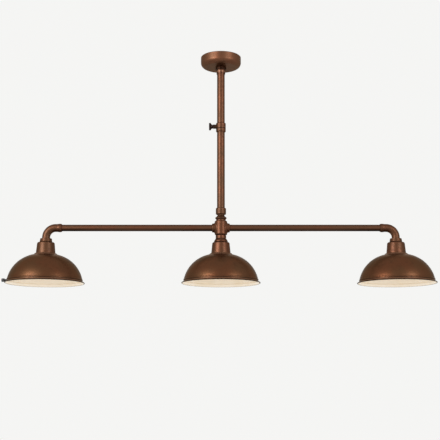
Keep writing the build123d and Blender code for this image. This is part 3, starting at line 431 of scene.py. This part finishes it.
# The shell is drawn as one pitch of its wavy wall, wound nine turns up and cut level. Its top edge
# is then drawn in to the flange that a rivet holds against the floor of the lampholder.
shell_low, shell_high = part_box("screw_shell_centre")
thread_pitch = 0.00363
shell_r, ridge_depth, flange_r = 0.01348, 0.00055, 0.0062
shell_wall = 0.0003
wave_points = 8
shell = start_point(shell_r, 0)
for step in range(wave_points):
    here = cos(2 * pi * step / wave_points)
    ahead = cos(2 * pi * (step + 1) / wave_points)
    outward = (ahead - here) * ridge_depth / 2
    bpy.ops.mesh.extrude_region()
    bpy.ops.transform.translate(value=(outward, 0, thread_pitch / wave_points))
bpy.ops.object.mode_set(mode="OBJECT")
winding = shell.modifiers.new("winding", "SCREW")
winding.screw_offset = thread_pitch
winding.iterations = 9
winding.steps = 48
winding.render_steps = 48
winding.use_merge_vertices = True
winding.merge_threshold = near
bpy.ops.object.modifier_apply(modifier="winding")
foot_z = thread_pitch
top_z = foot_z + shell_high.z - shell_low.z - 0.0002
bpy.ops.object.mode_set(mode="EDIT")
bpy.ops.mesh.select_all(action="SELECT")
bpy.ops.mesh.remove_doubles(threshold=near)
bpy.ops.mesh.bisect(plane_co=(0, 0, foot_z), plane_no=(0, 0, -1), clear_outer=True)
bpy.ops.mesh.select_all(action="SELECT")
bpy.ops.mesh.bisect(plane_co=(0, 0, top_z), plane_no=(0, 0, 1), clear_outer=True)
bpy.ops.mesh.select_all(action="DESELECT")
bpy.ops.object.mode_set(mode="OBJECT")
for point in shell.data.vertices:
    point.select = point.co.z > top_z - near
bpy.ops.object.mode_set(mode="EDIT")
bpy.ops.mesh.extrude_region()
drawn_in = flange_r / shell_r
bpy.ops.transform.resize(value=(drawn_in, drawn_in, 1), center_override=(0, 0, top_z))
bpy.ops.mesh.select_all(action="SELECT")
bpy.ops.mesh.normals_make_consistent(inside=False)
bpy.ops.object.mode_set(mode="OBJECT")
wall = shell.modifiers.new("wall", "SOLIDIFY")
wall.thickness = shell_wall
wall.offset = -1.0
bpy.ops.object.modifier_apply(modifier="wall")
bpy.ops.object.shade_smooth_by_angle(angle=radians(50))
shell.name = "screw_shell"
shell.data.transform(Matrix.Translation((0, 0, shell_low.z - foot_z)))
shell.data.materials.append(brass)


def copied(piece, name, x):
    """A copy with a mesh of its own, x to the side."""
    copy = piece.copy()
    copy.data = piece.data.copy()
    copy.name = name
    copy.data.transform(Matrix.Translation((x, 0, 0)))
    bpy.context.scene.collection.objects.link(copy)
    return copy


for side, x in sides.items():
    thread = copied(shell, f"rolled_shell_{side}", x)
    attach(thread, "arms")
    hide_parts(f"screw_shell_{side}")
bpy.data.objects.remove(shell)


# ---------------------------------------------------------------- shades
# Each shade is spun from thin steel: a flat seat, a dome, a raised bead, a short flare and an edge
# rolled over a wire. Bronze covers the outside and the foot of the roll, cream enamel the inside.
shade_top, shade_wall = -0.66095, 0.0009
hole_r, seat_r = 0.0199, 0.026
shoulder_r, shoulder_z, shoulder_round, shoulder_end = 0.03216, -0.66694, 0.0060, radians(16)
dome_r, dome_z, dome_round = 0.01891, -0.76669, 0.10293
dome_start, bead_start, bead_end = radians(78.7), radians(12.54), radians(9.93)
bead_out = 0.0009
roll_r, roll_z, roll_round = 0.1255, -0.75655, 0.0016
roll_start, roll_end = radians(128), radians(-172)
flare_end_r, flare_end_z, flare_sag = roll_r - 0.0013, roll_z + 0.0010, 0.0011


def arc(centre_r, centre_z, round_r, start, end, steps):
    """Points along an arc of the profile, both ends included."""
    turns = [start + (end - start) * step / steps for step in range(steps + 1)]
    return [(centre_r + round_r * cos(turn), centre_z + round_r * sin(turn)) for turn in turns]


def spun_wall(inset):
    """The wall from the hole's edge down to the foot of the flare, this far inside its face."""
    wall = [(hole_r, shade_top - inset), (seat_r, shade_top - inset)]
    wall += arc(shoulder_r, shoulder_z, shoulder_round - inset, radians(90), shoulder_end, 8)
    wall += arc(dome_r, dome_z, dome_round - inset, dome_start, bead_start, 44)
    for step in range(1, 8):
        rise = bead_out * sin(pi * step / 8) ** 0.7
        turn = bead_start + (bead_end - bead_start) * step / 8
        reach = dome_round - inset + rise
        wall.append((dome_r + reach * cos(turn), dome_z + reach * sin(turn)))
    wall += arc(dome_r, dome_z, dome_round - inset, bead_end, bead_end - radians(0.2), 1)
    foot_r, foot_z = wall[-1]
    flare_r = flare_end_r - inset * 0.6
    for step in range(1, 7):
        part = step / 6
        sag = flare_sag * sin(pi * part)
        wall.append((foot_r + (flare_r - foot_r) * part - sag * 0.86,
                     foot_z + (flare_end_z - foot_z) * part - sag * 0.5))
    return wall


outside = spun_wall(0.0)
inside = spun_wall(shade_wall)
roll = arc(roll_r, roll_z, roll_round, roll_start, roll_end, 22)
spun = turned("shade_spun", outside + roll + inside[::-1] + outside[:1], 144, 32)


def cream_enamel(name):
    """Stoved cream enamel: glossy, a little wavy, and faintly yellowed in places."""
    enamel = Finish(name, {"Coat Weight": 0.2, "Coat Roughness": 0.12})
    yellowed = enamel.rise(enamel.noise(0.045, 3.0, 0.55), 0.40, 0.68)
    peel = enamel.noise(0.0028, 2.0, 0.5)
    colour = enamel.blend(yellowed, (0.94, 0.82, 0.66, 1), (0.91, 0.78, 0.60, 1))
    return enamel.done({"Base Color": colour, "Roughness": 0.30 + 0.10 * yellowed + 0.05 * peel,
                        "Normal": enamel.bump(peel, 0.00006)})


# Painted light on the shade: painted shade at the bead's foot and over the roll, a painted
# highlight on the flare, and a broad lighter band painted round the top of the dome by the cup.
shade_bronze = antique_bronze("shade bronze", (0.106, 0.038, 0.016, 1), (0.089, 0.039, 0.017, 1),
                              (0.030, 0.014, 0.008, 1), (0.19, 0.095, 0.055, 1), coarse, 0.09,
                              creases=((-0.7498, 0.0022), (-0.7570, 0.0040)),
                              ridges=((-0.7532, 0.0022), (-0.6680, 0.0160)))
enamel = cream_enamel("cream enamel")
spun.data.materials.append(shade_bronze)
spun.data.materials.append(enamel)
for face in spun.data.polygons:
    r = sqrt(face.center.x ** 2 + face.center.y ** 2)
    outwards = (face.normal.x * face.center.x + face.normal.y * face.center.y) / r
    faces_in = outwards + 0.6 * face.normal.z < -0.45
    under_roll = face.center.z < roll_z and face.normal.z < -0.7
    face.material_index = 1 if faces_in and not under_roll else 0

for side, x in sides.items():
    shade = copied(spun, f"spun_shade_{side}", x)
    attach(shade, "arms")
    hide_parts(f"shade_{side}")
bpy.data.objects.remove(spun)


# ---------------------------------------------------------------- rotary switch
# A small rotary switch is fixed through the rim of the left shade with a thin nut. Its ivory casing
# is inside the shade and its fluted black knob outside.
switch_z = -0.74745
bush_r, rim_r = 0.0025, 0.120

# The hole for its bush is drilled through the rim from outside.
drill_length = 0.03
left_shade = bpy.data.objects["spun_shade_left"]
bpy.ops.mesh.primitive_cylinder_add(vertices=32, radius=bush_r, depth=drill_length,
                                    location=(sides["left"] - rim_r, 0, switch_z),
                                    rotation=(0, pi / 2, 0))
drill = bpy.context.object
bpy.ops.object.select_all(action="DESELECT")
bpy.context.view_layer.objects.active = left_shade
left_shade.select_set(True)
hole = left_shade.modifiers.new("hole", "BOOLEAN")
hole.object = drill
hole.operation = "DIFFERENCE"
hole.solver = "EXACT"
bpy.ops.object.modifier_apply(modifier="hole")
bpy.data.objects.remove(drill)

# The knob is turned upright, from the tail of its spindle to its flat end, and then laid along x.
knob_low, knob_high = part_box("switch_knob")
tail, end = -knob_high.x, -knob_low.x
back, head = 0.68943, end - 0.0104
spindle_r, neck_r, knob_r = 0.0015, 0.0035, 0.00565
knob_profile = [(0.0, tail), (spindle_r - 0.0002, tail), (spindle_r, tail + 0.0002)]
knob_profile += [(spindle_r, back), (neck_r - 0.0002, back)]
knob_profile += [(neck_r, back + 0.0002), (neck_r, head + 0.0001)]
knob_profile += [(neck_r + 0.0004, head + 0.0004), (knob_r - 0.0007, head + 0.0008)]
flutes_start = len(knob_profile)
knob_profile += [(knob_r - 0.0002, head + 0.0012), (knob_r, head + 0.0017), (knob_r, end - 0.0013)]
knob_profile += [(knob_r - 0.0003, end - 0.0006)]
flutes_end = len(knob_profile)
knob_profile += [(knob_r - 0.0010, end - 0.0001), (knob_r - 0.0015, end)]
knob_profile += [(0.0028, end), (0.0024, end - 0.0003), (0.0, end - 0.0004)]
knob = turned("fluted_knob", knob_profile, 48, 30, 0.00035, flutes_start, flutes_end)
knob.data.transform(Matrix.Translation((0, 0, switch_z)) @ laid_along_x)
black_plastic = moulded("black moulding", (0.018, 0.016, 0.016, 1), (0.034, 0.031, 0.029, 1), 0.28)
knob.data.materials.append(black_plastic)
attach(knob, "switch_knob")
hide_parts("switch_knob")
ivory_plastic = moulded("ivory moulding", (0.70, 0.63, 0.51, 1), (0.62, 0.54, 0.42, 1), 0.36)
dress(ivory_plastic, "switch_body")
darkened_steel = blackened("darkened nut", (0.105, 0.068, 0.048, 1), (0.20, 0.13, 0.09, 1))
dress(darkened_steel, "switch_nut")


# ---------------------------------------------------------------- room, lights and camera
# The fitting hangs in front of a pale backdrop, over a floor far below. Two soft boxes stand in
# front of it to the sides, the left one stronger, and the pale room fills in the rest.
pale = (0.913, 0.913, 0.900, 1)
shadow_share = 0.15      # how much of the floor's look is left to light and shadow


def shows_itself(tree):
    """1 where the camera sees a surface, directly or in metal or through glass, and 0 elsewhere."""
    path = tree.nodes.new("ShaderNodeLightPath")
    seen = Wire(path.outputs["Is Camera Ray"]) + Wire(path.outputs["Is Glossy Ray"])
    seen = seen + Wire(path.outputs["Is Transmission Ray"])
    return seen.sum("MINIMUM", seen, 1.0)


def pale_surface(name):
    """Shows its pale colour to the camera with a trace of shadow, and is a plain matt elsewhere."""
    paint = Finish(name, {"Base Color": pale, "Roughness": 0.9, "Specular IOR Level": 0.2})
    glow = paint.tree.nodes.new("ShaderNodeEmission")
    glow.inputs["Color"].default_value = pale
    glow_part = shows_itself(paint.tree) * (1 - shadow_share)
    mix = paint.node("ShaderNodeMixShader", {}, {0: glow_part}).socket.node
    paint.tree.links.new(paint.shader.outputs[0], mix.inputs[1])
    paint.tree.links.new(glow.outputs[0], mix.inputs[2])
    paint.tree.links.new(mix.outputs[0], paint.tree.nodes["Material Output"].inputs["Surface"])
    return paint.material


floor_size, floor_z = 30, -6.0
bpy.ops.mesh.primitive_plane_add(size=floor_size, location=(0, 0, floor_z))
floor = bpy.context.object
floor.name = "floor"
floor.data.materials.append(pale_surface("pale floor"))

world = bpy.data.worlds.new("pale room")
bpy.context.scene.world = world
world.use_nodes = True
room = world.node_tree
seen_room = room.nodes["Background"]
seen_room.inputs["Color"].default_value = pale
seen_room.inputs["Strength"].default_value = 1.0
lit_room = room.nodes.new("ShaderNodeBackground")
lit_room.inputs["Color"].default_value = (0.95, 0.97, 1.0, 1)
lit_room.inputs["Strength"].default_value = 1.05
choose = room.nodes.new("ShaderNodeMixShader")
room.links.new(shows_itself(room).socket, choose.inputs[0])
room.links.new(lit_room.outputs[0], choose.inputs[1])
room.links.new(seen_room.outputs[0], choose.inputs[2])
room.links.new(choose.outputs[0], room.nodes["World Output"].inputs["Surface"])


middle = (0, 0, -0.45)
box_height, box_white = 1.5, (1.0, 0.98, 0.97)


def soft_box(name, place, width, watts):
    """A rectangular lamp that faces the middle of the fitting."""
    bpy.ops.object.light_add(type="AREA", location=place)
    lamp = bpy.context.object
    lamp.name = name
    lamp.data.shape = "RECTANGLE"
    lamp.data.size = width
    lamp.data.size_y = box_height
    lamp.data.energy = watts
    lamp.data.color = box_white
    x, y, z = [there - here for there, here in zip(place, middle)]
    lamp.rotation_euler = (atan2(sqrt(x ** 2 + y ** 2), z), 0, atan2(x, -y))


soft_box("left soft box", (-2.36, -2.45, 0.35), 1.7, 98)
soft_box("right soft box", (2.36, -2.45, 0.35), 1.4, 44)

# The camera stands 3 m in front, below the fitting, and looks up at it.
camera_tilt = 9.67
camera_data = bpy.data.cameras.new("camera")
camera_data.lens = 78.55
camera_data.sensor_width = 36.0
camera = bpy.data.objects.new("camera", camera_data)
camera.location = (-0.003, -3.074, -1.0753)
camera.rotation_euler = (radians(90 + camera_tilt), 0, 0)
bpy.context.scene.collection.objects.link(camera)
bpy.context.scene.camera = camera
bpy.context.scene.view_settings.view_transform = "Standard"
